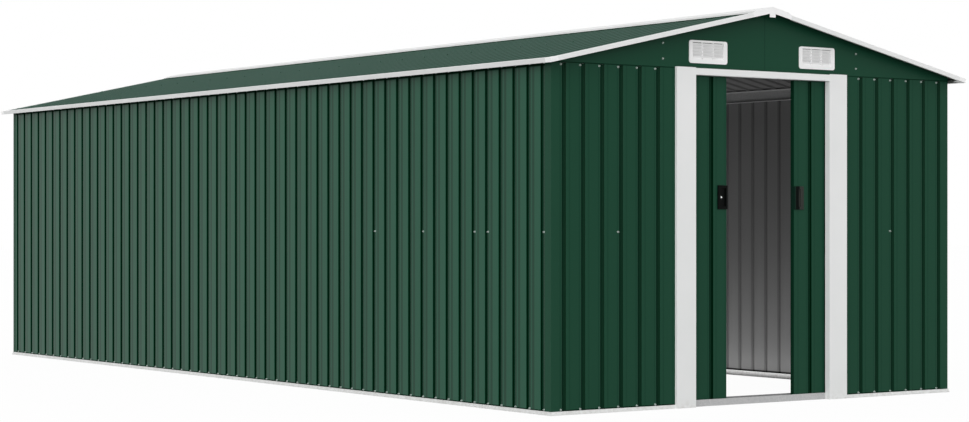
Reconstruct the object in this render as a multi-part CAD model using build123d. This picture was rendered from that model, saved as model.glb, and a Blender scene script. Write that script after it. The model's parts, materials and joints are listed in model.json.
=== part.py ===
from build123d import *
import os
from math import atan2, cos, radians, sin, tan

# A long metal storage shed: ribbed steel sheets on a floor rail, a low gabled roof
# and two sliding door leaves in the front gable. Millimetres, +Z up, front at -Y,
# origin on the ground under the middle of the roof.

os.makedirs("parts", exist_ok=True)

# Overall form
wall_width = 2459.0
wall_length = 5734.0
wall_head = 1541.0
long_wall_rise = 12.2
roof_pitch = 12.28
eave_overhang = 55.5
verge_overhang = 71.0
seat_gap = 0.3

# Ribbed sheet steel
sheet = 1.2
rib_pitch = 105.8
rib_depth = 9.0
rib_mouth = 24.0
rib_floor = 10.0
front_rib_inset = 67.3
front_rib_shift = 4.2
side_rib_inset = 65.5
corner_leg = 45.0

# Folded rails and trims
rail_steel = 1.5
floor_lip = 17.0
floor_hem = 7.0
floor_hem_reach = 3.0
floor_inner_leg = 28.0
top_rail_height = 41.0
top_rail_flange = 20.0
trim_face = 19.0
trim_lip = 25.0
trim_return = 10.0
corner_cap_leg = 42.0

# Ridge cap and its moulded ends
cap_half_width = 100.0
cap_rise = 9.2
cap_end_half_width = 120.0
cap_tab_width = 36.0
cap_tab_drop = 20.0
ridge_start = 10.0

# Roof beams
beam_width = 40.0
beam_depth = 30.0
purlin_place = 610.0

# Doorway
jamb_inner = 415.5
jamb_width = 113.0
jamb_stand_out = 14.0
jamb_rise = 7.0
jamb_depth = 18.0
jamb_back_flange = 28.0
jamb_rib_inset = 102.3
header_height = 26.5
header_upstand = 4.0
sill_height = 31.0
sill_back_height = 35.0

# Door leaves and their hanging track
leaf_face = 25.0
leaf_depth = 25.0
leaf_rib_inset = 96.0
leaf_rib_shift = 4.0
leaf_rib_gaps = 3
leaf_bottom = 8.0
leaf_top_gap = 6.0
leaf_lip = 12.0
left_leaf_lead = -200.0
right_leaf_lead = 223.0
track_drop = 21.0
track_clearance = 5.5
track_slot = 14.0
glider_length = 60.0
glider_inset = 70.0
glider_neck = 4.0
glider_head = 26.0
glider_head_height = 7.0
glider_foot_height = 2.0

# Handles
handle_width = 55.0
handle_height = 110.0
handle_middle = 958.0
handle_stand_out = 8.0
handle_wrap = 2.0
handle_wrap_depth = 22.0
handle_pocket_width = 26.0
handle_pocket_height = 84.0
handle_pocket_depth = 6.0
handle_pocket_edge = 9.0
lock_diameter = 14.0
lock_place = 31.0
lock_stand_out = 1.5

# Gable vents
vent_offset = 338.0
vent_shift = 5.0
vent_rise = 79.0
vent_width = 228.0
vent_height = 105.0
vent_corner = 12.0
vent_flange = 4.0
vent_body_width = 198.0
vent_body_height = 88.0
vent_body_lift = 5.0
vent_body_depth = 8.0
vent_hole_play = 1.0
vent_columns = 3
vent_bar = 6.0
vent_slats = 5
vent_top_gap = 3.0
vent_slat_depth = 17.2
vent_slat_thickness = 1.6
vent_slat_tilt = 54.0

# Derived places
half_width = wall_width / 2
half_length = wall_length / 2
half_roof_width = half_width + eave_overhang
half_roof_length = half_length + verge_overhang
pitch = radians(roof_pitch)
rib_reach = rib_depth + sheet
long_wall_head = wall_head + long_wall_rise
roof_seat = rib_reach / cos(pitch) + seat_gap
roof_ridge = long_wall_head + roof_seat + half_width * tan(pitch)
slope_length = (half_roof_width - rail_steel * sin(pitch)) / cos(pitch)
jamb_outer = jamb_inner + jamb_width
floor_channel = rib_reach + seat_gap
floor_inner_face = floor_channel + rail_steel
top_rail_web = rib_reach + rail_steel
track_front = jamb_depth
track_back = leaf_face + leaf_depth + track_clearance + rail_steel
leaf_width = 2 * leaf_rib_inset + leaf_rib_gaps * rib_pitch
leaf_top = wall_head - track_drop - leaf_top_gap
vent_middle = wall_head + vent_rise


def block(x0, x1, y0, y1, z0, z1):
    """A box between two corners."""
    middle = Pos((x0 + x1) / 2, (y0 + y1) / 2, (z0 + z1) / 2)
    return middle * Box(abs(x1 - x0), abs(y1 - y0), abs(z1 - z0))


def on_wall(side):
    """Place of a piece drawn with x along the wall, y inward from its outer face."""
    places = {
        "front": Pos(0, -half_length, 0),
        "rear": Pos(0, half_length, 0) * Rot(0, 0, 180),
        "left": Pos(-half_width, 0, 0) * Rot(0, 0, -90),
        "right": Pos(half_width, 0, 0) * Rot(0, 0, 90),
    }
    return places[side]


def mirrored(piece):
    """The same piece on the other long side."""
    return mirror(piece, about=Plane.YZ)


def roof_plane(across):
    """Height of the roof sheet's upper face at a distance from the ridge line."""
    return roof_ridge - across * tan(pitch)


def slope_point(down, depth):
    """Distance from the ridge line and height of a point in slope coordinates."""
    across = down * cos(pitch) - depth * sin(pitch)
    return across, roof_ridge - down * sin(pitch) - depth * cos(pitch)


def under_roof(across, depth):
    """Height of a seat under the roof, at a depth square to the slope."""
    return roof_plane(across) - depth / cos(pitch) - seat_gap


def along_slope(shape):
    """Place on the left slope: x toward the rear, y into the roof, z down the slope."""
    slope = Plane(
        origin=(0, 0, roof_ridge),
        x_dir=(0, 1, 0),
        z_dir=(-cos(pitch), 0, -sin(pitch)),
    )
    return slope.location * shape


def rib_centres(first, last):
    """Evenly spaced ribs from the first to the last, near the rib pitch."""
    gaps = max(1, round((last - first) / rib_pitch))
    return [first + (last - first) * gap / gaps for gap in range(gaps + 1)]


def ribbed_section(start, end, centres):
    """Section of a ribbed sheet, folded to a constant thickness at every rib."""
    lean = atan2(rib_depth, (rib_mouth - rib_floor) / 2)
    fold = sheet * tan(lean / 2)
    outer = [(start, 0)]
    inner = [(start, sheet)]
    for centre in centres:
        folds = (
            (-1, rib_mouth / 2, 0),
            (-1, rib_floor / 2, rib_depth),
            (1, rib_floor / 2, rib_depth),
            (1, rib_mouth / 2, 0),
        )
        for way, half, depth in folds:
            outer.append((centre + way * half, depth))
            inner.append((centre + way * (half + fold), depth + sheet))
    outer.append((end, 0))
    inner.append((end, sheet))
    return Polygon(*outer, *reversed(inner), align=None)


def ribbed_sheet(start, end, centres, bottom, top):
    """An upright ribbed sheet in wall coordinates."""
    section = ribbed_section(start, end, centres)
    return Pos(0, 0, bottom) * extrude(section, top - bottom, dir=(0, 0, 1))


def upright_profile(points, start, end):
    """A profile of (inward, height) points run along a wall from start to end."""
    outline = Plane.YZ * Polygon(*points, align=None)
    return Pos(start, 0, 0) * extrude(outline, end - start, dir=(1, 0, 0))


def flat_profile(points, inward_start, inward_end):
    """An outline of (along, height) points, thickened inward from one depth to another."""
    outline = Plane.XZ * Polygon(*points, align=None)
    return Pos(0, inward_start, 0) * extrude(outline, inward_end - inward_start, dir=(0, 1, 0))


def mitred_floor_rail(length):
    """Floor rail of one wall, cut at 45 degrees at both corners."""
    profile = [
        (-floor_hem_reach - 2 * rail_steel, 0),
        (floor_inner_face, 0),
        (floor_inner_face, floor_inner_leg),
        (floor_channel, floor_inner_leg),
        (floor_channel, rail_steel),
        (-rail_steel, rail_steel),
        (-rail_steel, floor_lip),
        (-2 * rail_steel, floor_lip),
        (-2 * rail_steel, floor_hem),
        (-floor_hem_reach - 2 * rail_steel, floor_hem),
    ]
    outer = floor_hem_reach + 2 * rail_steel
    half = length / 2
    mitre = Polygon(
        (-half - outer, -outer),
        (half + outer, -outer),
        (half - floor_inner_face, floor_inner_face),
        (-half + floor_inner_face, floor_inner_face),
        align=None,
    )
    run = upright_profile(profile, -half - outer, half + outer)
    return run & extrude(mitre, floor_inner_leg, dir=(0, 0, 1))


def front_floor_rail():
    """Floor rail left of the doorway, from the corner to the jamb."""
    reach = half_width + floor_inner_face
    left_part = block(-reach, -jamb_outer, -reach, reach, 0, floor_inner_leg)
    return mitred_floor_rail(wall_width) & left_part


def long_wall():
    """The left long wall, one run of ribbed sheet between its corner pieces."""
    reach = half_length - corner_leg
    last = half_length - side_rib_inset
    return ribbed_sheet(-reach, reach, rib_centres(-last, last), rail_steel, long_wall_head)


def rear_wall():
    """The ribbed rear wall, from corner piece to corner piece."""
    reach = half_width - corner_leg
    last = half_width - front_rib_inset
    return ribbed_sheet(-reach, reach, rib_centres(-last, last), rail_steel, wall_head)


def front_wall(shift):
    """The ribbed front wall left of the doorway, its free edge behind the jamb."""
    corner = -half_width + corner_leg
    edge = -jamb_outer + jamb_back_flange
    first = -half_width + front_rib_inset + shift
    last = -jamb_outer - jamb_rib_inset + shift
    return ribbed_sheet(corner, edge, rib_centres(first, last), rail_steel, wall_head)


def corner_piece():
    """The folded front left corner sheet, its side leg run up to the roof."""
    front_leg = block(
        -half_width, -half_width + corner_leg,
        -half_length, -half_length + sheet,
        rail_steel, wall_head,
    )
    side_leg = block(
        -half_width, -half_width + sheet,
        -half_length + sheet, -half_length + corner_leg,
        rail_steel, long_wall_head,
    )
    return front_leg + side_leg


def gable_sheet(vent_place):
    """The smooth left gable sheet with the hole of its vent, in wall coordinates."""
    outline = [
        (0, wall_head),
        (-half_width, wall_head),
        (-half_width, under_roof(half_width, sheet)),
        (0, under_roof(0, sheet)),
    ]
    hole_width = vent_body_width + vent_hole_play
    hole_height = vent_body_height + vent_hole_play
    hole_middle = vent_middle + vent_body_lift
    hole = Pos(vent_place, 0, hole_middle) * Box(hole_width, 4 * sheet, hole_height)
    return flat_profile(outline, 0, sheet) - hole


def vent():
    """A louvred vent: rounded flange, bars and slanted slats, around its own middle."""
    face = Plane.XZ * RectangleRounded(vent_width, vent_height, vent_corner)
    flange = extrude(face, vent_flange, dir=(0, -1, 0))
    depth = vent_flange + vent_body_depth
    middle = (vent_body_depth - vent_flange) / 2
    body = Pos(0, middle, vent_body_lift) * Box(vent_body_width, depth, vent_body_height)
    wall = 2 * vent_bar
    window_width = (vent_body_width - wall - (vent_columns - 1) * vent_bar) / vent_columns
    window_height = vent_body_height - wall
    grille = flange + body
    for column in range(vent_columns):
        place = (column - (vent_columns - 1) / 2) * (window_width + vent_bar)
        window = Box(window_width, 2 * depth, window_height)
        grille -= Pos(place, middle, vent_body_lift) * window
    recess = Box(vent_body_width - wall, vent_flange, window_height)
    grille -= Pos(0, -vent_flange / 2, vent_body_lift) * recess
    slat = Rot(-vent_slat_tilt, 0, 0) * Box(
        vent_body_width - wall + vent_bar, vent_slat_depth, vent_slat_thickness
    )
    rise = (window_height - vent_top_gap) / vent_slats
    for row in range(vent_slats):
        height = vent_body_lift - vent_top_gap / 2 + (row - (vent_slats - 1) / 2) * rise
        grille += Pos(0, middle, height) * slat
    return grille


def side_top_rail():
    """The folded rail along the head of the left long wall, under the roof ribs."""
    flange_edge = top_rail_web + top_rail_flange
    fold = rail_steel / cos(pitch)
    foot = wall_head - top_rail_height
    points = [
        (rib_reach, foot),
        (flange_edge, foot),
        (flange_edge, foot + rail_steel),
        (top_rail_web, foot + rail_steel),
        (top_rail_web, under_roof(half_width - top_rail_web, rib_reach) - fold),
        (flange_edge, under_roof(half_width - flange_edge, rib_reach) - fold),
        (flange_edge, under_roof(half_width - flange_edge, rib_reach)),
        (rib_reach, under_roof(half_width - rib_reach, rib_reach)),
    ]
    reach = half_length - sheet
    return upright_profile(points, -reach, reach)


def rear_top_rail():
    """The angle along the head of the rear wall, between the long rails."""
    flange_edge = top_rail_web + top_rail_flange
    foot = wall_head - top_rail_height
    points = [
        (rib_reach, foot),
        (flange_edge, foot),
        (flange_edge, foot + rail_steel),
        (top_rail_web, foot + rail_steel),
        (top_rail_web, wall_head),
        (rib_reach, wall_head),
    ]
    reach = half_width - flange_edge - seat_gap
    return upright_profile(points, -reach, reach)


def roof_sheet():
    """The ribbed left roof sheet, its ribs in line with those of the long wall."""
    reach = half_roof_length - rail_steel
    last = half_length - side_rib_inset
    section = ribbed_section(-reach, reach, rib_centres(-last, last))
    run = extrude(section, slope_length - rail_steel - ridge_start, dir=(0, 0, 1))
    return along_slope(Pos(0, 0, ridge_start) * run)


def eave_trim():
    """Folded trim around the lower edge of the left roof sheet."""
    reach = half_roof_length - corner_cap_leg
    face = block(-reach, reach, -rail_steel, trim_face, slope_length - rail_steel, slope_length)
    lip = block(-reach, reach, -rail_steel, 0, slope_length - trim_lip, slope_length)
    fold = block(
        -reach, reach, trim_face - rail_steel, trim_face,
        slope_length - trim_return, slope_length,
    )
    return along_slope(face + lip + fold)


def verge_trim():
    """Folded trim around the front edge of the left roof sheet."""
    edge = -half_roof_length
    start = cap_end_half_width / cos(pitch)
    end = slope_length - corner_cap_leg
    face = block(edge, edge + rail_steel, -rail_steel, trim_face, start, end)
    lip = block(edge, edge + trim_lip, -rail_steel, 0, start, end)
    fold = block(edge, edge + trim_return, trim_face - rail_steel, trim_face, start, end)
    return along_slope(face + lip + fold)


def corner_cap():
    """Moulded cap where the left eave trim meets the front verge trim."""
    edge = -half_roof_length
    inner = edge + corner_cap_leg
    start = slope_length - corner_cap_leg
    top = block(edge, inner, -rail_steel, 0, start, slope_length)
    front = block(edge, edge + rail_steel, -rail_steel, trim_face, start, slope_length)
    side = block(
        edge, inner, -rail_steel, trim_face, slope_length - rail_steel, slope_length
    )
    bottom = block(edge, inner, trim_face - rail_steel, trim_face, start, slope_length)
    return along_slope(top + front + side + bottom)


def front_and_rear(piece):
    """The same piece at both ends of the shed."""
    return piece, mirror(piece, about=Plane.XZ)


def ridge_cap():
    """Folded cap over the ridge, its turned down edges on the roof sheets."""
    fold = rail_steel / cos(pitch)
    crown = roof_ridge + cap_rise
    edge = crown - cap_half_width * tan(pitch)
    inner_half = cap_half_width - rail_steel
    inner_edge = crown - inner_half * tan(pitch) - fold
    right = [
        (cap_half_width, edge),
        (cap_half_width, roof_plane(cap_half_width)),
        (inner_half, roof_plane(inner_half)),
        (inner_half, inner_edge),
    ]
    left = [(-across, height) for across, height in reversed(right)]
    points = [(0, crown), *right, (0, crown - fold), *left]
    reach = half_roof_length - rail_steel
    return flat_profile(points, -reach, reach)


def ridge_end_cap():
    """Moulded plate over the front end of the ridge cap and the upper verge ends."""
    crown = roof_ridge + cap_rise
    verge_foot = trim_face / cos(pitch)
    verge_start = cap_end_half_width / cos(pitch)
    tab = cap_tab_width / 2
    right = [
        (cap_half_width, crown - cap_half_width * tan(pitch)),
        slope_point(verge_start, -rail_steel),
        slope_point(verge_start, trim_face),
        (tab, roof_plane(tab) - verge_foot),
        (tab, roof_plane(0) - verge_foot - cap_tab_drop),
    ]
    left = [(-across, height) for across, height in reversed(right)]
    points = [(0, crown), *right, *left]
    return flat_profile(points, -half_roof_length, -half_roof_length + rail_steel)


def ridge_beam():
    """Hollow peaked beam under the ridge, from gable to gable."""
    half = beam_width / 2
    shoulder = under_roof(half, rib_reach)
    foot = shoulder - beam_depth
    outer = [
        (0, under_roof(0, rib_reach)), (half, shoulder), (half, foot),
        (-half, foot), (-half, shoulder),
    ]
    inner_half = half - rail_steel
    fold = rail_steel / cos(pitch)
    inner_shoulder = under_roof(inner_half, rib_reach) - fold
    inner = [
        (0, under_roof(0, rib_reach) - fold), (inner_half, inner_shoulder),
        (inner_half, foot + rail_steel), (-inner_half, foot + rail_steel),
        (-inner_half, inner_shoulder),
    ]
    reach = half_length - sheet
    return flat_profile(outer, -reach, reach) - flat_profile(inner, -reach, reach)


def purlin():
    """Hollow beam half way down the left slope, under the roof ribs."""
    reach = half_length - sheet
    top = rib_reach + seat_gap
    tube = block(-reach, reach, top, top + beam_depth, purlin_place, purlin_place + beam_width)
    bore = block(
        -reach, reach,
        top + rail_steel, top + beam_depth - rail_steel,
        purlin_place + rail_steel, purlin_place + beam_width - rail_steel,
    )
    return along_slope(tube - bore)


def jamb():
    """The wide folded jamb left of the doorway, in wall coordinates."""
    face = -jamb_stand_out
    under_track = wall_head - rail_steel
    top = wall_head + jamb_rise
    parts = [
        block(-jamb_outer, -jamb_inner, face, face + rail_steel, 0, top),
        block(-jamb_outer, -jamb_outer + rail_steel, face, 0, 0, top),
        block(-jamb_inner - rail_steel, -jamb_inner, face, jamb_depth, 0, under_track),
        block(
            -jamb_inner - jamb_back_flange, -jamb_inner,
            jamb_depth - rail_steel, jamb_depth, 0, under_track,
        ),
    ]
    return parts[0] + parts[1:]


def header():
    """The folded strip over the doorway, between the jambs, in wall coordinates."""
    face = -jamb_stand_out
    foot = wall_head - header_height
    points = [
        (face, foot),
        (jamb_depth, foot),
        (jamb_depth, foot + rail_steel),
        (face + rail_steel, foot + rail_steel),
        (face + rail_steel, wall_head - rail_steel),
        (rib_reach, wall_head - rail_steel),
        (rib_reach, wall_head),
        (face + rail_steel, wall_head),
        (face + rail_steel, wall_head + header_upstand),
        (face, wall_head + header_upstand),
    ]
    return upright_profile(points, -jamb_inner, jamb_inner)


def door_track():
    """The lipped track that carries the leaves, across the whole front."""
    foot = wall_head - track_drop
    slot_front = leaf_face + (leaf_depth - track_slot) / 2
    slot_back = slot_front + track_slot
    points = [
        (rib_reach, wall_head - rail_steel),
        (track_front, wall_head - rail_steel),
        (track_front, foot),
        (slot_front, foot),
        (slot_front, foot + rail_steel),
        (track_front + rail_steel, foot + rail_steel),
        (track_front + rail_steel, wall_head - rail_steel),
        (track_back - rail_steel, wall_head - rail_steel),
        (track_back - rail_steel, foot + rail_steel),
        (slot_back, foot + rail_steel),
        (slot_back, foot),
        (track_back, foot),
        (track_back, wall_head),
        (rib_reach, wall_head),
    ]
    reach = half_width - top_rail_web - seat_gap
    return upright_profile(points, -reach, reach)


def sill_strip(front, back, bottom, top):
    """One strip of the sill that guides the leaves, from long rail to long rail."""
    reach = half_width - floor_inner_face - seat_gap
    return block(-reach, reach, front, back, bottom, top)


def leaf(lead, shift):
    """The left door leaf: a ribbed sheet folded back around all four edges."""
    tail = lead - leaf_width
    back = leaf_face + leaf_depth
    first = lead - leaf_rib_inset + shift
    centres = [first - gap * rib_pitch for gap in range(leaf_rib_gaps + 1)]
    skin = Pos(0, leaf_face, 0) * ribbed_sheet(
        tail, lead, sorted(centres), leaf_bottom, leaf_top
    )
    parts = [
        block(lead - sheet, lead, leaf_face, back, leaf_bottom, leaf_top),
        block(tail, tail + sheet, leaf_face, back, leaf_bottom, leaf_top),
        block(lead - leaf_lip, lead, back - sheet, back, leaf_bottom, leaf_top),
        block(tail, tail + leaf_lip, back - sheet, back, leaf_bottom, leaf_top),
        block(tail, lead, leaf_face, back, leaf_bottom, leaf_bottom + sheet),
        block(tail, lead, leaf_face, back, leaf_top - sheet, leaf_top),
    ]
    return skin + parts


def handle(lead):
    """Moulded pull wrapped round the leading edge of the left leaf."""
    front = leaf_face - handle_stand_out
    bottom = handle_middle - handle_height / 2
    top = handle_middle + handle_height / 2
    plate = block(lead - handle_width, lead + handle_wrap, front, leaf_face, bottom, top)
    plate = fillet(plate.faces().sort_by(Axis.Y)[0].edges(), handle_wrap)
    wrap = block(lead, lead + handle_wrap, leaf_face, leaf_face + handle_wrap_depth, bottom, top)
    pocket = block(
        lead - handle_pocket_edge - handle_pocket_width, lead - handle_pocket_edge,
        front, front + handle_pocket_depth,
        handle_middle - handle_pocket_height / 2, handle_middle + handle_pocket_height / 2,
    )
    return plate + wrap - pocket


def lock_barrel(lead):
    """Round lock of the left handle, seated on the floor of its pocket."""
    front = leaf_face - handle_stand_out
    barrel = extrude(
        Plane.XZ * Circle(lock_diameter / 2), lock_stand_out + handle_pocket_depth, dir=(0, 1, 0)
    )
    return Pos(lead - lock_place, front - lock_stand_out, handle_middle) * barrel


def glider(place):
    """A nylon hanger on top of the left leaf, its head on the lips of the track."""
    seat = wall_head - track_drop + rail_steel + seat_gap
    middle = leaf_face + leaf_depth / 2
    start = place - glider_length / 2
    end = place + glider_length / 2
    foot_top = leaf_top + glider_foot_height
    parts = [
        block(
            start, end, middle - leaf_depth / 3, middle + leaf_depth / 3, leaf_top, foot_top
        ),
        block(
            start, end, middle - glider_neck / 2, middle + glider_neck / 2, foot_top, seat
        ),
        block(
            start, end, middle - glider_head / 2, middle + glider_head / 2,
            seat, seat + glider_head_height,
        ),
    ]
    return parts[0] + parts[1:]


def gliders(lead):
    """The two hangers of the left leaf."""
    return Compound([glider(lead - glider_inset), glider(lead - leaf_width + glider_inset)])


pieces = {}

# Floor rails and sill
pieces["left_floor_rail"] = on_wall("left") * mitred_floor_rail(wall_length)
pieces["right_floor_rail"] = mirrored(pieces["left_floor_rail"])
pieces["rear_floor_rail"] = on_wall("rear") * mitred_floor_rail(wall_width)
pieces["front_left_floor_rail"] = on_wall("front") * front_floor_rail()
pieces["front_right_floor_rail"] = mirrored(pieces["front_left_floor_rail"])
pieces["door_sill"] = on_wall("front") * sill_strip(
    track_front, track_front + rail_steel, 0, sill_height
)
pieces["door_sill_base"] = on_wall("front") * sill_strip(
    track_front + rail_steel, track_back, 0, rail_steel
)
pieces["door_sill_back"] = on_wall("front") * sill_strip(
    track_back - rail_steel, track_back, rail_steel, sill_back_height
)

# Walls
pieces["left_wall"] = on_wall("left") * long_wall()
pieces["right_wall"] = mirrored(pieces["left_wall"])
pieces["rear_wall"] = on_wall("rear") * rear_wall()
pieces["front_left_wall"] = on_wall("front") * front_wall(front_rib_shift)
pieces["front_right_wall"] = mirrored(on_wall("front") * front_wall(-front_rib_shift))
front_corner, rear_corner = front_and_rear(corner_piece())
pieces["front_left_corner"] = front_corner
pieces["front_right_corner"] = mirrored(front_corner)
pieces["rear_left_corner"] = rear_corner
pieces["rear_right_corner"] = mirrored(rear_corner)

# Gables and vents
left_vent_place = vent_shift - vent_offset
right_vent_place = vent_shift + vent_offset
pieces["front_left_gable"] = on_wall("front") * gable_sheet(left_vent_place)
pieces["front_right_gable"] = mirrored(on_wall("front") * gable_sheet(-right_vent_place))
pieces["rear_right_gable"] = on_wall("rear") * gable_sheet(-vent_offset)
pieces["rear_left_gable"] = mirrored(pieces["rear_right_gable"])
pieces["front_left_vent"] = on_wall("front") * Pos(left_vent_place, 0, vent_middle) * vent()
pieces["front_right_vent"] = on_wall("front") * Pos(right_vent_place, 0, vent_middle) * vent()
pieces["rear_right_vent"] = on_wall("rear") * Pos(-vent_offset, 0, vent_middle) * vent()
pieces["rear_left_vent"] = on_wall("rear") * Pos(vent_offset, 0, vent_middle) * vent()

# Rails under the roof
pieces["left_top_rail"] = on_wall("left") * side_top_rail()
pieces["right_top_rail"] = mirrored(pieces["left_top_rail"])
pieces["rear_top_rail"] = on_wall("rear") * rear_top_rail()
pieces["ridge_beam"] = ridge_beam()
pieces["left_purlin"] = purlin()
pieces["right_purlin"] = mirrored(pieces["left_purlin"])

# Roof
pieces["left_roof"] = roof_sheet()
pieces["right_roof"] = mirrored(pieces["left_roof"])
pieces["left_eave_trim"] = eave_trim()
pieces["right_eave_trim"] = mirrored(pieces["left_eave_trim"])
front_verge, rear_verge = front_and_rear(verge_trim())
pieces["front_verge_trims"] = Compound([front_verge, mirrored(front_verge)])
pieces["rear_verge_trims"] = Compound([rear_verge, mirrored(rear_verge)])
front_cap, rear_cap = front_and_rear(corner_cap())
pieces["roof_corner_caps"] = Compound(
    [front_cap, rear_cap, mirrored(front_cap), mirrored(rear_cap)]
)
pieces["ridge_cap"] = ridge_cap()
pieces["ridge_end_caps"] = Compound(list(front_and_rear(ridge_end_cap())))

# Doorway
pieces["left_door_jamb"] = on_wall("front") * jamb()
pieces["right_door_jamb"] = mirrored(pieces["left_door_jamb"])
pieces["door_header"] = on_wall("front") * header()
pieces["door_track"] = on_wall("front") * door_track()

# Door leaves
pieces["left_door"] = on_wall("front") * leaf(left_leaf_lead, leaf_rib_shift)
pieces["left_door_handle"] = on_wall("front") * (
    handle(left_leaf_lead) + lock_barrel(left_leaf_lead)
)
pieces["left_door_gliders"] = on_wall("front") * gliders(left_leaf_lead)
pieces["right_door"] = mirrored(on_wall("front") * leaf(-right_leaf_lead, -leaf_rib_shift))
pieces["right_door_handle"] = mirrored(on_wall("front") * handle(-right_leaf_lead))
pieces["right_door_gliders"] = mirrored(on_wall("front") * gliders(-right_leaf_lead))

for name, piece in pieces.items():
    export_step(piece, f"parts/{name}.step")
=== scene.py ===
"""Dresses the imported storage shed: coated sheet, folded trims, fixings and a plain studio.

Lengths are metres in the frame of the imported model: the front gable with the doors faces
-Y, the left of the shed is -X and the ground is z = 0.
"""

from __future__ import annotations

import json
import logging
import math
from collections.abc import Callable, Iterable, Sequence
from dataclasses import dataclass
from enum import Enum

import bmesh
import bpy
from mathutils import Matrix, Vector

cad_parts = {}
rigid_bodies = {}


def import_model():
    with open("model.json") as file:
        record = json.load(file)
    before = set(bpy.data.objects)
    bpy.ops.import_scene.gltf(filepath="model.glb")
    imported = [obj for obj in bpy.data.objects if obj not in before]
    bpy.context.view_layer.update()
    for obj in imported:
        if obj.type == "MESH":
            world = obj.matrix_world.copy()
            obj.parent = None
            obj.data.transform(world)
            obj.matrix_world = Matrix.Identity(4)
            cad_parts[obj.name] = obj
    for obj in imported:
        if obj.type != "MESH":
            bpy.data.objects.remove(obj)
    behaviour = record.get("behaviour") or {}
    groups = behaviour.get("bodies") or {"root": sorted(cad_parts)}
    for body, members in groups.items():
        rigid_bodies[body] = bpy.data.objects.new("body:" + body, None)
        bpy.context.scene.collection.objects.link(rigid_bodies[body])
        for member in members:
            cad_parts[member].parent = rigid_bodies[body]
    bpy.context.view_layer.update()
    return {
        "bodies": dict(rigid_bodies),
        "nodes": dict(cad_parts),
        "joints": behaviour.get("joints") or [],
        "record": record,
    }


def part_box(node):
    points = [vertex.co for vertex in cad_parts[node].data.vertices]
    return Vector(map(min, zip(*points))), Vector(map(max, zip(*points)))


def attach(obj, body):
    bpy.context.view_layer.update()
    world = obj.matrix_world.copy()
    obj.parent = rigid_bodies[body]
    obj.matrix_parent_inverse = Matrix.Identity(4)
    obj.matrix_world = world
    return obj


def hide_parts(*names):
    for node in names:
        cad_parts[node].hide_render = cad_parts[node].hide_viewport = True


log = logging.getLogger("shed")

Triple = tuple[float, float, float]
Colour = Triple
Span = tuple[float, float]
Feed = object

# The shed's own sizes, as its solids have them
HALF_WIDTH = 1.2295
HALF_LENGTH = 2.867
PITCH = math.radians(12.28)
RIDGE = 1.83152
LEFT_LEAD = -0.2
RIGHT_LEAD = 0.223

# Each row of ribs: where it starts, its pitch and how many ribs it has
LEAF_PITCH = 0.1058
SIDE_START = HALF_LENGTH - 0.0655
SIDE_PITCH = 0.105717
SIDE_RIBS = 54
FRONT_STARTS = (-1.158, 0.635)
FRONT_PITCH = 0.1063
FRONT_RIBS = 6
REAR_START = 0.0673 - HALF_WIDTH
REAR_PITCH = 0.105655
REAR_RIBS = 23

# How forms are cleaned and smoothed
MERGE_DISTANCE = 0.00001
FLAT_ANGLE = math.radians(0.4)
SHARP_ANGLE = math.radians(32)


class Body(Enum):
    """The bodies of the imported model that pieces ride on."""

    SHED = "shed"
    LEFT_LEAF = "left_leaf"
    RIGHT_LEAF = "right_leaf"


class Slot(Enum):
    """The record's material slots named for the formed pieces."""

    SHEET = "green_sheet"
    TRIM = "white_trim"
    STEEL = "galvanised_steel"
    MOULDED = "white_plastic"


class Side(Enum):
    """A wall, with the way inward from its outer face and the way along it."""

    FRONT = ((0.0, 1.0, 0.0), (1.0, 0.0, 0.0), HALF_LENGTH)
    REAR = ((0.0, -1.0, 0.0), (-1.0, 0.0, 0.0), HALF_LENGTH)
    LEFT = ((1.0, 0.0, 0.0), (0.0, -1.0, 0.0), HALF_WIDTH)
    RIGHT = ((-1.0, 0.0, 0.0), (0.0, 1.0, 0.0), HALF_WIDTH)

    @property
    def inward(self) -> Vector:
        """The way inward from the outer face."""
        return Vector(self.value[0])

    @property
    def along(self) -> Vector:
        """The way along the wall, to the right for someone who faces it outside."""
        return Vector(self.value[1])

    def place(self, along: float, height: float, depth: float = 0.0) -> Matrix:
        """Where a fixing sits on the wall, its own +Z turned outward.

        Args:
            along: Distance from the wall's middle, to the right as seen from outside.
            height: Height above the ground.
            depth: Distance inward from the outer face.

        Returns:
            The matrix from fixing coordinates to the shed's frame.
        """
        outward = -self.inward
        spot = self.along * along + self.inward * (depth - self.value[2])
        spot.z = height
        turn = Matrix((self.along, Vector((0, 0, 1)), outward)).transposed().to_4x4()
        return Matrix.Translation(spot) @ turn


def srgb(red: int, green: int, blue: int) -> Colour:
    """A screen colour of 0 to 255 per channel as linear light."""

    def linear(level: int) -> float:
        """One channel as linear light."""
        share = level / 255
        return share / 12.92 if share <= 0.04045 else ((share + 0.055) / 1.055) ** 2.4

    return linear(red), linear(green), linear(blue)


def slope_place(across: float, along: float) -> Matrix:
    """A place on the roof, +Z square to the sheet and +X toward the rear.

    Args:
        across: Distance from the ridge line, negative on the left slope.
        along: Place along the shed, positive toward the rear.

    Returns:
        The matrix from fixing coordinates to the shed's frame.
    """
    way = -1.0 if across < 0 else 1.0
    normal = Vector((way * math.sin(PITCH), 0, math.cos(PITCH)))
    spot = Vector((across, along, RIDGE - abs(across) * math.tan(PITCH)))
    rear = Vector((0, 1, 0))
    turn = Matrix((rear, normal.cross(rear), normal)).transposed().to_4x4()
    return Matrix.Translation(spot) @ turn


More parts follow.
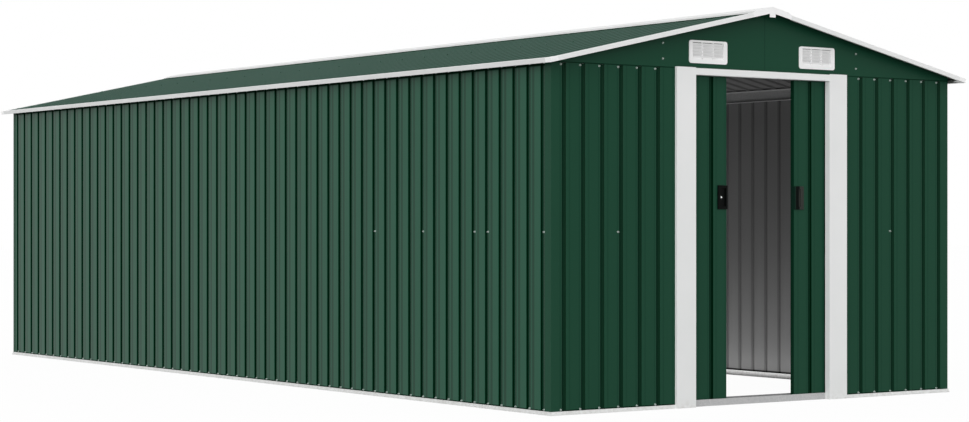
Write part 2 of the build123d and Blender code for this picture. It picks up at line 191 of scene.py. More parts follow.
class Graph:
    """A node tree under construction, with short calls to add and join nodes."""

    def __init__(self, tree: bpy.types.NodeTree) -> None:
        """Keeps the tree that nodes are added to."""
        self.tree = tree

    def feed(self, socket: bpy.types.NodeSocket, value: Feed) -> None:
        """Links an output to a socket, or sets the socket's own value.

        Args:
            socket: The input that takes the value.
            value: An output socket, a number, a vector or a linear colour.
        """
        if isinstance(value, bpy.types.NodeSocket):
            self.tree.links.new(value, socket)
        elif socket.type == "RGBA":
            socket.default_value = (*value, 1.0)
        else:
            socket.default_value = value

    def node(
        self, kind: str, inputs: dict[str | int, Feed] | None = None, **settings: object
    ) -> bpy.types.Node:
        """Adds a node.

        Args:
            kind: The node's type, without its ShaderNode prefix.
            inputs: Values or links for its inputs, by name or number.
            **settings: Properties of the node.

        Returns:
            The new node.
        """
        made = self.tree.nodes.new(f"ShaderNode{kind}")
        for name, value in settings.items():
            setattr(made, name, value)
        self.feed_all(made, inputs or {})
        return made

    def feed_all(self, node: bpy.types.Node, inputs: dict[str | int, Feed]) -> None:
        """Links or sets several inputs of a node, by name or number."""
        for key, value in inputs.items():
            self.feed(node.inputs[key], value)

    def group(self, tree: bpy.types.NodeTree, inputs: dict[str, Feed]) -> bpy.types.Node:
        """Places a shared effect with its own values."""
        return self.node("Group", inputs, node_tree=tree)

    def relief(self, height: Feed, distance: float, strength: float = 1.0) -> Feed:
        """The normal of a surface raised by a height."""
        bump = {"Height": height, "Distance": distance, "Strength": strength}
        return self.node("Bump", bump).outputs[0]

    def math(self, operation: str, first: Feed, second: Feed = 0.0) -> bpy.types.NodeSocket:
        """The result of one step of arithmetic."""
        return self.node("Math", {0: first, 1: second}, operation=operation).outputs[0]

    def vary(self, base: Feed, mask: Feed, swing: float) -> bpy.types.NodeSocket:
        """A value that a mask raises by up to the swing."""
        return self.math("ADD", base, self.math("MULTIPLY", mask, swing))

    def axis(self, name: str) -> bpy.types.NodeSocket:
        """One object coordinate of the surface, X, Y or Z."""
        spot = self.node("TexCoord").outputs["Object"]
        return self.node("SeparateXYZ", {0: spot}).outputs[name]

    def ramp(self, value: Feed, start: float, end: float) -> bpy.types.NodeSocket:
        """A smooth rise from 0 to 1 as the value goes from start to end."""
        spread = self.node(
            "MapRange",
            {"Value": value, "From Min": start, "From Max": end},
            interpolation_type="SMOOTHSTEP",
        )
        return spread.outputs["Result"]

    def mix(self, share: Feed, first: Feed, second: Feed) -> bpy.types.NodeSocket:
        """A colour between two colours."""
        blend = self.node("Mix", {0: share, 6: first, 7: second}, data_type="RGBA")
        return blend.outputs[2]

    def between(self, share: Feed, first: float, second: float) -> bpy.types.NodeSocket:
        """A number between two numbers."""
        blend = self.node("Mix", {0: share, 2: first, 3: second}, data_type="FLOAT")
        return blend.outputs[0]

    def dot(self, first: Feed, second: Feed) -> bpy.types.NodeSocket:
        """The dot product of two vectors."""
        product = self.node("VectorMath", {0: first, 1: second}, operation="DOT_PRODUCT")
        return product.outputs["Value"]


@dataclass(frozen=True)
class SheetZones:
    """Where the masks of a coated sheet start and end.

    outside is the most that a face may turn inward and still be painted. flank and edge are
    turns, rib_floor is a depth, seam and cap_edge are distances across the shed, and the
    others are heights. The masks other than outside and seam place painted shade; seam places
    a dark line at the gables' joint.
    """

    outside: float = 0.3
    # flank, edge and rib_floor place the painted shade in the rib grooves.
    flank: Span = (0.93, 0.72)
    edge: Span = (0.25, 0.45)
    rib_floor: Span = (0.0005, 0.0060)
    # foot places painted shade along the foot of the grey back coat.
    foot: Span = (0.040, 0.034)
    # seat places painted shade along the outer foot of a wall, head places it under the
    # eaves.
    seat: Span = (0.0235, 0.0205)
    head: Span = (1.5255, 1.5295)
    # lap places a painted shadow under a gable sheet's lower edge; the seam numbers place a
    # dark line at the joint of the two gable sheets.
    lap: Span = (1.5470, 1.5445)
    seam: Span = (0.004, 0.002)
    seam_place: float = 0.014
    seam_shade: float = 0.35
    # cap_edge places a painted shadow on the roof beside the ridge cap.
    cap_edge: Span = (0.168, 0.148)


class Effects:
    """The surface effects that several finishes share, each one a node group."""

    CREASE_EDGE = (1.0, 0.4)
    PEEL_DETAIL = (3.0, 4.0)
    SPECKLE_SCALE = 55.0
    SPECKLE_DETAIL = 5.0
    SPECKLE_SHARE = (0.35, 0.70)

    def __init__(self) -> None:
        """Builds every shared group once."""
        self.sides = self._sheet_sides(SheetZones())
        self.creases = self._creases()
        self.peel = self._peel()
        self.dust = self._dust()
        self.spangle = self._spangle()

    @staticmethod
    def _group(
        name: str, inputs: dict[str, str], outputs: Sequence[str]
    ) -> tuple[bpy.types.NodeTree, Graph, bpy.types.Node, bpy.types.Node]:
        """Starts a group.

        Args:
            name: The group's name.
            inputs: Socket kind by input name, Float or Vector.
            outputs: Names of its value outputs.

        Returns:
            The tree, its graph, its input node and its output node.
        """
        tree = bpy.data.node_groups.new(name, "ShaderNodeTree")
        for label, kind in inputs.items():
            tree.interface.new_socket(label, in_out="INPUT", socket_type=f"NodeSocket{kind}")
        for label in outputs:
            tree.interface.new_socket(label, in_out="OUTPUT", socket_type="NodeSocketFloat")
        start = tree.nodes.new("NodeGroupInput")
        end = tree.nodes.new("NodeGroupOutput")
        return tree, Graph(tree), start, end

    def _sheet_sides(self, zones: SheetZones) -> bpy.types.NodeTree:
        """Masks for a sheet's painted outside and for where it is painted in shade."""
        tree, graph, start, end = self._group(
            "sheet_sides",
            {"Inward": "Vector", "Face": "Float", "Flank": "Float", "Floor": "Float"},
            ("Outside", "Groove", "Foot", "Head", "Seat", "Lap", "Overhang", "Cap Edge"),
        )
        spot = graph.node("TexCoord")
        inward = start.outputs["Inward"]
        turned = graph.dot(spot.outputs["Normal"], inward)
        outside = graph.math("LESS_THAN", turned, zones.outside)
        turned = graph.math("ABSOLUTE", turned)
        # Painted shade in the rib grooves: on their flanks and their floors.
        flank = graph.math(
            "MULTIPLY", graph.ramp(turned, *zones.flank), graph.ramp(turned, *zones.edge)
        )
        flank = graph.math("MULTIPLY", flank, start.outputs["Flank"])
        depth = graph.math(
            "SUBTRACT", graph.dot(spot.outputs["Object"], inward), start.outputs["Face"]
        )
        floor = graph.math(
            "MULTIPLY", graph.ramp(depth, *zones.rib_floor), start.outputs["Floor"]
        )
        part = graph.node("SeparateXYZ", {0: spot.outputs["Object"]})
        height = part.outputs["Z"]
        # Painted shade along the outer foot of a wall (seat) and under the eaves (head).
        seat = graph.ramp(height, *zones.seat)
        head = graph.ramp(height, *zones.head)
        # Painted shadow under a gable sheet's lower edge, and a dark line at the gables'
        # seam.
        lap = graph.ramp(height, *zones.lap)
        aside = graph.math("SUBTRACT", part.outputs["X"], zones.seam_place)
        aside = graph.math("ABSOLUTE", aside)
        seam = graph.math("MULTIPLY", graph.ramp(aside, *zones.seam), zones.seam_shade)
        across = graph.math("ABSOLUTE", part.outputs["X"])
        along = graph.math("ABSOLUTE", part.outputs["Y"])
        # Painted shade on the back coat where the sheet reaches beyond the walls.
        beyond = graph.math(
            "MAXIMUM",
            graph.math("GREATER_THAN", across, HALF_WIDTH),
            graph.math("GREATER_THAN", along, HALF_LENGTH),
        )
        graph.feed_all(end, {
            "Outside": outside,
            "Groove": graph.math("MAXIMUM", flank, floor),
            # Painted shade along the foot of the back coat.
            "Foot": graph.ramp(height, *zones.foot),
            "Head": graph.math("MAXIMUM", head, seat),
            "Seat": seat,
            "Lap": graph.math("MAXIMUM", lap, seam),
            "Overhang": beyond,
            # Painted shadow beside the ridge cap.
            "Cap Edge": graph.ramp(across, *zones.cap_edge),
        })
        return tree

    def _creases(self) -> bpy.types.NodeTree:
        """Masks for the two shallow creases rolled into each flat between two ribs."""
        numbers = ("First", "Pitch", "Near", "Near Width", "Far", "Far Width")
        tree, graph, start, end = self._group(
            "flat_creases",
            {"Along": "Vector", **dict.fromkeys(numbers, "Float")},
            ("Near Crease", "Far Crease"),
        )
        spot = graph.node("TexCoord").outputs["Object"]
        travel = graph.math(
            "SUBTRACT", graph.dot(spot, start.outputs["Along"]), start.outputs["First"]
        )
        phase = graph.math("FRACT", graph.math("DIVIDE", travel, start.outputs["Pitch"]))
        for name in ("Near", "Far"):
            away = graph.math("ABSOLUTE", graph.math("SUBTRACT", phase, start.outputs[name]))
            share = graph.math("DIVIDE", away, start.outputs[f"{name} Width"])
            mark = graph.ramp(share, *self.CREASE_EDGE)
            graph.feed(end.inputs[f"{name} Crease"], mark)
        return tree

    def _peel(self) -> bpy.types.NodeTree:
        """The fine unevenness of a coating and slow changes across a sheet."""
        tree, graph, start, end = self._group(
            "coating_peel", {"Fine": "Float", "Slow": "Float"}, ("Height", "Mottle")
        )
        spot = graph.node("TexCoord").outputs["Object"]
        rows = (("Fine", "Height"), ("Slow", "Mottle"))
        for (scale, name), detail in zip(rows, self.PEEL_DETAIL):
            size = {"Vector": spot, "Scale": start.outputs[scale], "Detail": detail}
            graph.feed(end.inputs[name], graph.node("TexNoise", size).outputs["Fac"])
        return tree

    def _dust(self) -> bpy.types.NodeTree:
        """A mask for the thin dust that rain splashes up from the ground."""
        tree, graph, start, end = self._group("ground_dust", {"Reach": "Float"}, ("Dust",))
        spot = graph.node("TexCoord").outputs["Object"]
        low = graph.math("DIVIDE", graph.axis("Z"), start.outputs["Reach"])
        fade = graph.ramp(low, 1.0, 0.0)
        size = {"Scale": self.SPECKLE_SCALE, "Detail": self.SPECKLE_DETAIL}
        speckle = graph.node("TexNoise", {"Vector": spot, **size})
        broken = graph.ramp(speckle.outputs["Fac"], *self.SPECKLE_SHARE)
        graph.feed(end.inputs["Dust"], graph.math("MULTIPLY", fade, broken))
        return tree

    def _spangle(self) -> bpy.types.NodeTree:
        """The crystals of a zinc coating, each with its own brightness."""
        tree, graph, start, end = self._group(
            "zinc_spangle", {"Scale": "Float"}, ("Crystal", "Height")
        )
        spot = graph.node("TexCoord").outputs["Object"]
        cells = graph.node(
            "TexVoronoi", {"Vector": spot, "Scale": start.outputs["Scale"], "Randomness": 1.0}
        )
        tint = graph.node("SeparateXYZ", {0: cells.outputs["Color"]})
        graph.feed_all(
            end, {"Crystal": tint.outputs["X"], "Height": cells.outputs["Distance"]}
        )
        return tree


def surface(name: str) -> tuple[bpy.types.Material, Graph, bpy.types.Node]:
    """Starts a node material.

    Args:
        name: The material's name.

    Returns:
        The material, its graph and its Principled node.
    """
    material = bpy.data.materials.new(name)
    material.use_nodes = True
    graph = Graph(material.node_tree)
    shader = material.node_tree.nodes["Principled BSDF"]
    return material, graph, shader


@dataclass(frozen=True)
class Creases:
    """Where the flats between the ribs are creased, in shares of the rib pitch, and how
    strongly each crease is painted in shade.
    """

    near: float
    near_width: float
    far: float
    far_width: float
    near_shade: float
    far_shade: float


SIDE_CREASES = Creases(0.385, 0.115, 0.150, 0.100, 0.80, 0.85)
# A lighter copy of the green for the long walls: painted light for how they are lit and for
# their sheen.
SIDE_LIT_GREEN = srgb(27, 78, 58)
FRONT_CREASES = Creases(0.28, 0.05, 0.80, 0.05, 0.30, 0.30)


@dataclass(frozen=True)
class CoatedSheet:
    """Coil-coated sheet steel: green outside, grey back coat inside.

    inward and face place the outer skin; along, first and pitch place its ribs. The grooves,
    the creases and the named zone are painted in shade with darker colours.
    """

    name: str
    inward: Triple
    face: float
    along: Triple = (0.0, 0.0, 1.0)
    first: float = 0.0
    pitch: float = 100.0
    creases: Creases | None = None
    green: Colour = srgb(25, 67, 49)
    # A darker green: painted shade in the creases, and also the tint of the slow random
    # patches.
    crease_shade_and_mottle_green: Colour = srgb(2, 48, 31)
    # Painted shade in the grooves and the named zone: darker green outside, darker grey
    # inside.
    groove_shade_green: Colour = srgb(0, 27, 12)
    back: Colour = srgb(128, 128, 128)
    groove_shade_back: Colour = srgb(100, 100, 100)
    # Painted shade along the foot of the back coat, by foot_shade.
    foot_shade_back: Colour = srgb(10, 10, 10)
    foot_shade: float = 0.0
    # Painted shade on the back coat under the overhangs.
    overhang_shade_back: Colour = srgb(4, 8, 6)
    # A named zone mask of sheet_sides, painted in the groove shade to the given share.
    sheltered: str = ""
    shelter: float = 0.9
    # How strongly the rib flanks and floors are painted in shade.
    flank: float = 1.0
    rib_floor: float = 0.70
    gloss: float = 0.55
    groove_gloss: float = 0.02
    coat_index: float = 1.25
    roughness: float = 0.32
    back_roughness: float = 0.5
    rough_swing: float = 0.08
    grain: float = 420.0
    drift: float = 2.3
    drift_share: float = 0.07
    peel_height: float = 0.00001
    crease_depth: float = 0.0002

    def material(self, effects: Effects) -> bpy.types.Material:
        """The finish as a node material."""
        made, graph, shader = surface(self.name)
        sides = graph.group(effects.sides, {
            "Inward": self.inward,
            "Face": self.face,
            "Flank": self.flank,
            "Floor": self.rib_floor,
        })
        peel = graph.group(effects.peel, {"Fine": self.grain, "Slow": self.drift})
        mottle = peel.outputs["Mottle"]
        outside, groove = sides.outputs["Outside"], sides.outputs["Groove"]
        patches = graph.math("MULTIPLY", mottle, self.drift_share)
        green = graph.mix(patches, self.green, self.crease_shade_and_mottle_green)
        height = graph.math("MULTIPLY", peel.outputs["Height"], self.peel_height)
        # Painted shade in the creases.
        if self.creases:
            green, height = self._crease(effects, graph, green, height)
        # Painted shade: the named zone takes the groove colours too.
        if self.sheltered:
            covered = graph.math("MULTIPLY", sides.outputs[self.sheltered], self.shelter)
            groove = graph.math("MAXIMUM", groove, covered)
        # Painted shade in the grooves and the zone, on both coats.
        green = graph.mix(groove, green, self.groove_shade_green)
        back = graph.mix(groove, self.back, self.groove_shade_back)
        # Painted shade along the foot of the back coat.
        low = graph.math("MULTIPLY", sides.outputs["Foot"], self.foot_shade)
        back = graph.mix(low, back, self.foot_shade_back)
        # Painted shade on the back coat under the overhangs.
        back = graph.mix(sides.outputs["Overhang"], back, self.overhang_shade_back)
        rough = graph.between(outside, self.back_roughness, self.roughness)
        graph.feed_all(shader, {
            "Base Color": graph.mix(outside, back, green),
            "Specular IOR Level": 0.0,
            "Coat IOR": self.coat_index,
            "Coat Roughness": self.roughness,
            # Less coat where shade is painted.
            "Coat Weight": graph.between(groove, self.gloss, self.groove_gloss),
            "Roughness": graph.vary(rough, mottle, self.rough_swing),
            "Normal": graph.relief(height, 1.0),
        })
        return made

    def _crease(
        self, effects: Effects, graph: Graph, green: Feed, height: Feed
    ) -> tuple[Feed, Feed]:
        """The colour and height so far, with the creases added: painted shade in the colour
        and a shallow dip in the height.
        """
        marks = graph.group(effects.creases, {
            "Along": self.along,
            "First": self.first,
            "Pitch": self.pitch,
            "Near": self.creases.near,
            "Near Width": self.creases.near_width,
            "Far": self.creases.far,
            "Far Width": self.creases.far_width,
        })
        shades = {"Near": self.creases.near_shade, "Far": self.creases.far_shade}
        for name, shade in shades.items():
            mark = marks.outputs[f"{name} Crease"]
            green = graph.mix(graph.math("MULTIPLY", mark, shade), green, self.crease_shade_and_mottle_green)
            dip = graph.math("MULTIPLY", mark, self.crease_depth)
            height = graph.math("SUBTRACT", height, dip)
        return green, height


@dataclass(frozen=True)
class WhiteEnamel:
    """White coating on the folded rails and trims, faintly dusty near the ground, with an
    optional brighter colour inside the walls that is painted light.
    """

    name: str = "white_enamel"
    white: Colour = srgb(238, 238, 238)
    shade: Colour = srgb(226, 228, 227)
    dusty: Colour = srgb(176, 172, 164)
    lit_inner: Colour | None = None
    dust: float = 0.30
    dust_reach: float = 0.05
    grain: float = 380.0
    drift: float = 3.1
    depth: float = 0.00003
    bump: float = 0.6
    roughness: float = 0.38
    rough_swing: float = 0.10

    def material(self, effects: Effects) -> bpy.types.Material:
        """The finish as a node material."""
        made, graph, shader = surface(self.name)
        peel = graph.group(effects.peel, {"Fine": self.grain, "Slow": self.drift})
        mottle = peel.outputs["Mottle"]
        white = graph.mix(mottle, self.white, self.shade)
        if self.lit_inner:
            # Painted light: faces inside the walls take the brighter white.
            across = graph.math("ABSOLUTE", graph.axis("X"))
            inside = graph.math("LESS_THAN", across, HALF_WIDTH)
            white = graph.mix(inside, white, self.lit_inner)
        dust = graph.group(effects.dust, {"Reach": self.dust_reach})
        share = graph.math("MULTIPLY", dust.outputs["Dust"], self.dust)
        graph.feed_all(shader, {
            "Base Color": graph.mix(share, white, self.dusty),
            "Roughness": graph.vary(self.roughness, mottle, self.rough_swing),
            "Normal": graph.relief(peel.outputs["Height"], self.depth, self.bump),
        })
        return made


@dataclass(frozen=True)
class ZincCoat:
    """Bare galvanised steel with a fine spangle."""

    name: str = "zinc_coat"
    light: Colour = srgb(190, 190, 190)
    dark: Colour = srgb(176, 177, 178)
    scale: float = 160.0
    metallic: float = 0.30
    roughness: float = 0.42
    rough_swing: float = 0.14
    depth: float = 0.00004

    def material(self, effects: Effects) -> bpy.types.Material:
        """The finish as a node material."""
        made, graph, shader = surface(self.name)
        spangle = graph.group(effects.spangle, {"Scale": self.scale})
        crystal = spangle.outputs["Crystal"]
        graph.feed_all(shader, {
            "Base Color": graph.mix(crystal, self.dark, self.light),
            "Metallic": self.metallic,
            "Roughness": graph.vary(self.roughness, crystal, self.rough_swing),
            "Normal": graph.relief(spangle.outputs["Height"], self.depth),
        })
        return made


@dataclass(frozen=True)
class Moulding:
    """Injection-moulded plastic with a fine spark-eroded grain.

    With a recess colour, the body colours show only beyond the given place across and there
    stand for a painted sheen on the pad; short of it the pocket takes the recess colour,
    painted shade, and the part that wraps the leaf's edge, up to wrap_until, has a colour of
    its own.
    """

    name: str
    body: Colour
    rubbed: Colour
    roughness: float = 0.45
    rough_swing: float = 0.12
    gloss: float = 0.4
    grain: float = 900.0
    drift: float = 9.0
    depth: float = 0.00004
    recess_shade: Colour | None = None
    sheen_from: float = 0.2505
    wrap: Colour = srgb(12, 36, 27)
    wrap_until: float = 0.2262

    def material(self, effects: Effects) -> bpy.types.Material:
        """The finish as a node material."""
        made, graph, shader = surface(self.name)
        peel = graph.group(effects.peel, {"Fine": self.grain, "Slow": self.drift})
        mottle = peel.outputs["Mottle"]
        body = graph.mix(mottle, self.body, self.rubbed)
        # Painted sheen on the pad, painted shade in the pocket.
        if self.recess_shade:
            across = graph.axis("X")
            plain = graph.math("LESS_THAN", across, self.sheen_from)
            body = graph.mix(plain, body, self.recess_shade)
            edge = graph.math("LESS_THAN", across, self.wrap_until)
            body = graph.mix(edge, body, self.wrap)
        graph.feed_all(shader, {
            "Base Color": body,
            "Specular IOR Level": self.gloss,
            "Roughness": graph.vary(self.roughness, mottle, self.rough_swing),
            "Normal": graph.relief(peel.outputs["Height"], self.depth),
        })
        return made


@dataclass(frozen=True)
class PlatedSteel:
    """Bright plated steel of the screws, washers and the lock."""

    name: str = "plated_steel"
    bright: Colour = srgb(170, 182, 176)
    dull: Colour = srgb(132, 146, 139)
    metallic: float = 0.35
    roughness: float = 0.36
    rough_swing: float = 0.15
    grain: float = 600.0
    drift: float = 14.0

    def material(self, effects: Effects) -> bpy.types.Material:
        """The finish as a node material."""
        made, graph, shader = surface(self.name)
        peel = graph.group(effects.peel, {"Fine": self.grain, "Slow": self.drift})
        mottle = peel.outputs["Mottle"]
        graph.feed_all(shader, {
            "Base Color": graph.mix(mottle, self.bright, self.dull),
            "Metallic": self.metallic,
            "Roughness": graph.vary(self.roughness, mottle, self.rough_swing),
        })
        return made


Finish = CoatedSheet | WhiteEnamel | ZincCoat | Moulding | PlatedSteel


class Finishes:
    """Every finish of the shed, built once."""

    def __init__(self) -> None:
        """Builds the shared effects and the plain finishes."""
        self.effects = Effects()
        made = self.made
        self.trim = made(WhiteEnamel())
        # Long-side trims: a greyer white as painted shade, a brighter white inside as painted
        # light.
        self.shaded_side_trim = made(WhiteEnamel(
            "white_enamel_shaded_sides", srgb(224, 224, 224), srgb(212, 214, 213),
            srgb(170, 166, 158), srgb(252, 252, 252),
        ))
        self.zinc = made(ZincCoat())
        # A darker zinc, painted shade for the sill's back strip.
        self.shaded_zinc = made(
            ZincCoat("zinc_coat_painted_shade", srgb(150, 150, 150), srgb(134, 135, 136))
        )
        self.moulded = made(
            Moulding("white_moulding", srgb(248, 248, 248), srgb(240, 240, 240))
        )
        self.handle = made(
            Moulding("black_moulding", srgb(0, 2, 1), srgb(5, 7, 6), gloss=0.06)
        )
        # The right handle: a grey pad as painted sheen, a black pocket as painted shade.
        self.sheen_handle = made(Moulding(
            "black_moulding_painted_sheen", srgb(44, 48, 45), srgb(56, 57, 54), gloss=0.06,
            recess_shade=srgb(0, 3, 2),
        ))
        self.nylon = made(Moulding(
            "nylon_glider", srgb(228, 226, 216), srgb(212, 210, 200), roughness=0.5
        ))
        self.plated = made(PlatedSteel())
        self.lock_face = made(
            PlatedSteel("lock_plating", srgb(240, 240, 240), srgb(220, 222, 221))
        )
        self.coated_screw = made(Moulding(
            "green_screw_head", srgb(44, 78, 62), srgb(36, 68, 53), roughness=0.4, gloss=0.3
        ))

    def made(self, finish: Finish) -> bpy.types.Material:
        """A finish as a material that uses the shared effects."""
        return finish.material(self.effects)

    def sheet(self, name: str, side: Side, **ribs: object) -> bpy.types.Material:
        """The coated sheet finish for one wall or gable."""
        return self.made(CoatedSheet(name, tuple(side.inward), -side.value[2], **ribs))


def mesh_of(name: str, form: bmesh.types.BMesh) -> bpy.types.Mesh:
    """A mesh made from a form, which is freed."""
    mesh = bpy.data.meshes.new(name)
    form.to_mesh(mesh)
    form.free()
    return mesh


def link(name: str, data: bpy.types.ID) -> bpy.types.Object:
    """A new object in the scene."""
    made = bpy.data.objects.new(name, data)
    bpy.context.scene.collection.objects.link(made)
    return made


def finish_node(frame: dict, node: str, material: bpy.types.Material) -> None:
    """Finishes a node that keeps its solid's shape."""
    frame["nodes"][node].material_slots[0].material = material


def add_disc(
    form: bmesh.types.BMesh, sides: int, radius: float, taper: float, depth: float
) -> list[bmesh.types.BMVert]:
    """Adds a flat round piece, centred on the origin.

    Args:
        form: The form it goes into.
        sides: How many sides it has.
        radius: Radius of its base.
        taper: Radius of its outer face as a share of the base.
        depth: Its depth along +Z.

    Returns:
        Its vertices.
    """
    made = bmesh.ops.create_cone(
        form, cap_ends=True, segments=sides, radius1=radius, radius2=radius * taper,
        depth=depth,
    )
    return made["verts"]


def publish(
    name: str,
    form: bmesh.types.BMesh,
    material: bpy.types.Material,
    body: Body,
    slot: Slot,
    nodes: Iterable[str] = (),
) -> None:
    """Makes a finished form an object that rides on its body.

    Args:
        name: The piece's name.
        form: Its form, in the shed's frame; it is freed.
        material: Its finish.
        body: The body it rides on.
        slot: The record's material slot of the piece; not used.
        nodes: CAD nodes that it stands for.
    """
    for face in form.faces:
        face.smooth = True
    mesh = mesh_of(name, form)
    mesh.set_sharp_from_angle(angle=SHARP_ANGLE)
    mesh.materials.append(material)
    piece = link(name, mesh)
    normals = piece.modifiers.new("face_normals", "WEIGHTED_NORMAL")
    normals.keep_sharp = True
    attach(piece, body.value)
    if nodes:
        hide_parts(*nodes)
    log.info("%s: %d faces", name, len(mesh.polygons))


@dataclass(frozen=True)
class Bends:
    """How folds are rounded, and which ones: turns are degrees, least_width is a face's."""

    radius: float = 0.0012
    steps: int = 3
    least_turn: float = 60.0
    most_turn: float = 120.0
    least_width: float = 0.003


TRIM_BENDS = Bends()
RIB_BENDS = Bends(0.0026, 3, 40.0, 65.0, 0.0045)
CORNER_BEND = Bends(0.003, 4)
RIM_BEND = Bends(0.0016)


def wide(face: bmesh.types.BMFace, least: float) -> bool:
    """Whether a face is broader than a cut edge of the sheet."""
    longest = max(edge.calc_length() for edge in face.edges)
    return face.calc_area() / longest > least


def fold_edges(form: bmesh.types.BMesh, bends: Bends) -> list[bmesh.types.BMEdge]:
    """The edges where sheet is folded, without the sheet's own cut edges."""
    low, high = math.radians(bends.least_turn), math.radians(bends.most_turn)
    return [
        edge
        for edge in form.edges
        if len(edge.link_faces) == 2
        and low < edge.calc_face_angle() < high
        and all(wide(face, bends.least_width) for face in edge.link_faces)
    ]


@dataclass
class Formed:
    """A folded or moulded piece with real bend radii, formed from its plain solid."""

    frame: dict
    bends: Bends

    def merged(self, node: str) -> bmesh.types.BMesh:
        """A copy of a node's mesh with its loose triangles joined into whole faces."""
        form = bmesh.new()
        form.from_mesh(self.frame["nodes"][node].data)
        bmesh.ops.remove_doubles(form, verts=form.verts, dist=MERGE_DISTANCE)
        bmesh.ops.dissolve_limit(
            form, angle_limit=FLAT_ANGLE, verts=form.verts, edges=form.edges
        )
        return form

    def rounded(
        self,
        node: str,
        choose: Callable[[bmesh.types.BMesh], list[bmesh.types.BMEdge]] | None = None,
    ) -> bmesh.types.BMesh:
        """A node's form with its folds rounded.

        Args:
            node: The CAD node.
            choose: Picks the edges to round; all folds without it.

        Returns:
            The rounded form.
        """
        form, bends = self.merged(node), self.bends
        edges = choose(form) if choose else fold_edges(form, bends)
        bmesh.ops.bevel(
            form, geom=edges, offset=bends.radius, offset_type="OFFSET", segments=bends.steps,
            profile=0.5, affect="EDGES", material=-1, clamp_overlap=True,
        )
        return form


@dataclass
class RibbedSheets:
    """The ribbed walls, roof sheets, corner sheets and gables."""

    frame: dict
    finishes: Finishes

    def dress(self) -> None:
        """Forms the ribs of each sheet and coats everything that is sheet."""
        self._walls()
        self._roof()
        self._corners()
        self._gables()

    def _form(
        self, node: str, material: bpy.types.Material, bends: Bends = RIB_BENDS
    ) -> None:
        """Forms one sheet with rounded bends."""
        form = Formed(self.frame, bends).rounded(node)
        publish(f"{node}_sheet", form, material, Body.SHED, Slot.SHEET, [node])

    def _walls(self) -> None:
        """Forms the four walls."""
        for node, side in (("left_wall", Side.LEFT), ("right_wall", Side.RIGHT)):
            # The long walls are painted in shade under the eaves and along the foot.
            material = self.finishes.sheet(
                f"{node}_coating", side, pitch=SIDE_PITCH, creases=SIDE_CREASES, gloss=1.0,
                green=SIDE_LIT_GREEN, coat_index=1.27, sheltered="Head", foot_shade=1.0,
                along=(0.0, -1.0, 0.0), first=SIDE_START,
            )
            self._form(node, material)
        # The end walls are painted in shade along the foot.
        across = {
            "along": (1.0, 0.0, 0.0), "creases": FRONT_CREASES, "sheltered": "Seat",
            "flank": 0.75,
        }
        rows = (
            ("rear_wall", Side.REAR, REAR_START, REAR_PITCH),
            ("front_left_wall", Side.FRONT, FRONT_STARTS[0], FRONT_PITCH),
            ("front_right_wall", Side.FRONT, FRONT_STARTS[1], FRONT_PITCH),
        )
        for node, side, start, pitch in rows:
            material = self.finishes.sheet(
                f"{node}_coating", side, first=start, pitch=pitch, **across
            )
            self._form(node, material)

    def _roof(self) -> None:
        """Forms the two roof sheets."""
        for node, way in (("left_roof", 1.0), ("right_roof", -1.0)):
            # A bluer copy of the green, painted light for the roof's sheen, and a darker grey
            # back, painted shade.
            coating = CoatedSheet(
                f"{node}_coating", (way * math.sin(PITCH), 0.0, -math.cos(PITCH)),
                -RIDGE * math.cos(PITCH), (0.0, -1.0, 0.0), SIDE_START, SIDE_PITCH,
                SIDE_CREASES, green=srgb(27, 69, 55), back=srgb(98, 98, 98),
                # Painted shadow beside the ridge cap.
                sheltered="Cap Edge", shelter=0.8, gloss=0.62, roughness=0.60,
            )
            self._form(node, self.finishes.made(coating))

    def _corners(self) -> None:
        """Coats the four folded corner sheets."""
        for end, depth in (("front", 1.0), ("rear", -1.0)):
            for hand, across in (("left", 1.0), ("right", -1.0)):
                node = f"{end}_{hand}_corner"
                inward = (across * math.sqrt(0.5), depth * math.sqrt(0.5), 0.0)
                coating = CoatedSheet(
                    f"{node}_coating", inward, face=10.0, flank=0.0, rib_floor=0.0, gloss=0.6
                )
                self._form(node, self.finishes.made(coating), CORNER_BEND)

    def _gables(self) -> None:
        """Coats the smooth gable sheets."""
        for end, side in (("front", Side.FRONT), ("rear", Side.REAR)):
            # Painted shadow under each gable sheet's lower edge, with a dark seam line.
            material = self.finishes.sheet(
                f"{end}_gable_coating", side, sheltered="Lap", shelter=0.7
            )
            for hand in ("left", "right"):
                finish_node(self.frame, f"{end}_{hand}_gable", material)


@dataclass
class FoldedTrims:
    """White folded trims and rails, and the moulded caps at the roof's corners."""

    frame: dict
    finishes: Finishes

    def dress(self) -> None:
        """Rounds the folds of the trims and finishes all of them."""
        folded = (
            "left_eave_trim", "right_eave_trim", "front_verge_trims", "rear_verge_trims",
            "ridge_cap", "left_door_jamb", "right_door_jamb", "door_header",
        )
        formed = Formed(self.frame, TRIM_BENDS)
        pieces = [(node, self._enamel(node), Slot.TRIM) for node in folded]
        for node in ("roof_corner_caps", "ridge_end_caps"):
            pieces.append((node, self.finishes.moulded, Slot.MOULDED))
        for node, finish, slot in pieces:
            form = formed.rounded(node)
            publish(f"{node}_formed", form, finish, Body.SHED, slot, [node])
        rails = (
            "left_floor_rail", "right_floor_rail", "rear_floor_rail",
            "front_left_floor_rail", "front_right_floor_rail",
        )
        for node in rails:
            finish_node(self.frame, node, self._enamel(node))

    def _enamel(self, node: str) -> bpy.types.Material:
        """The white coating of a piece; along the long sides a greyer copy, painted shade,
        which is brighter inside the walls, painted light.
        """
        beside = node.startswith(("left_eave", "right_eave", "left_floor", "right_floor"))
        return self.finishes.shaded_side_trim if beside else self.finishes.trim


